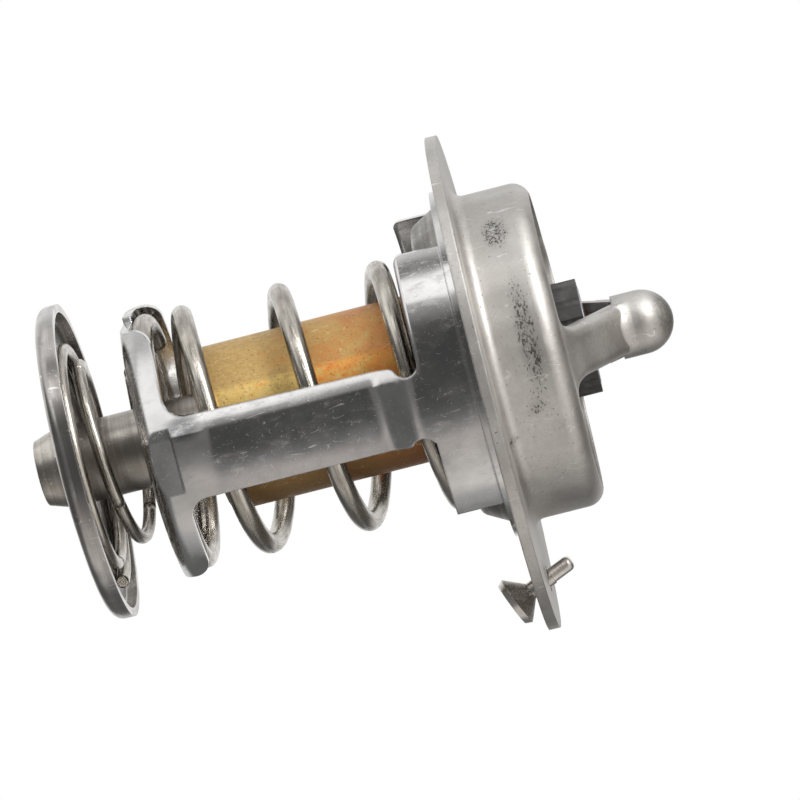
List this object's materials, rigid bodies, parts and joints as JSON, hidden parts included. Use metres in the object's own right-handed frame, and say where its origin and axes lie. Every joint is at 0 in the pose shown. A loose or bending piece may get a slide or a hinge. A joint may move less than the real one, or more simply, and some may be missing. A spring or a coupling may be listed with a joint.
{
  "type": "engine thermostat",
  "caption": "Bridge-type engine thermostat: flanged outlet dome, spring cage, wax element with main valve, bypass disc on a stem and a loose bleed pin.",
  "frame": {"origin": "centre of the flange's round rim, on its engine-side face", "axes": "+Z along the valve towards the outlet nose; +X towards the bleed pin"},
  "size_m": [0.054, 0.054, 0.0696],
  "materials": {
    "outlet_frame": "satin pressed stainless sheet",
    "spring_cage": "bright pressed stainless sheet",
    "main_spring": "ground spring wire",
    "valve_dish": "dark pressed steel",
    "valve_seal": "moulded rubber",
    "wax_cup": "bare copper alloy, heat tinted",
    "wax_charge": "wax",
    "rubber_sleeve": "moulded rubber",
    "piston_guide": "turned brass",
    "guide_boot": "moulded rubber, fluted",
    "boot_washer": "dull steel",
    "piston": "polished steel",
    "bypass_stem": "turned steel",
    "stem_clip": "dark spring steel",
    "bypass_disc": "bright pressed steel",
    "bypass_spring": "dark spring wire",
    "jiggle_pin": "steel pin"
  },
  "bodies": {
    "housing": {"outlet_frame": "outlet_frame", "spring_cage": "spring_cage", "piston": "piston", "main_spring": "main_spring", "bypass_spring": "bypass_spring"},
    "element": {"valve_dish": "valve_dish", "valve_seal": "valve_seal", "wax_cup": "wax_cup", "wax_charge": "wax_charge", "rubber_sleeve": "rubber_sleeve", "piston_guide": "piston_guide", "guide_boot": "guide_boot", "boot_washer": "boot_washer", "bypass_stem": "bypass_stem", "stem_clip": "stem_clip"},
    "bypass_valve": {"bypass_disc": "bypass_disc"},
    "bleed_pin": {"jiggle_pin": "jiggle_pin"}
  },
  "joints": [
    {"name": "valve_slide", "type": "slide", "parent": "housing", "child": "element", "axis": [0, 0, -1], "range_m": [0, 0.0052], "stiffness_N_per_m": 5000, "springref_m": -0.012, "deforming": ["main_spring", "bypass_spring"]},
    {"name": "bypass_slide", "type": "slide", "parent": "element", "child": "bypass_valve", "axis": [0, 0, 1], "range_m": [0, 0.004], "stiffness_N_per_m": 1200, "springref_m": -0.004, "deforming": ["bypass_spring"]},
    {"name": "bleed_slide", "type": "slide", "parent": "housing", "child": "bleed_pin", "axis": [-0.3827, 0, 0.9239], "range_m": [0, 0.0008]}
  ]
}
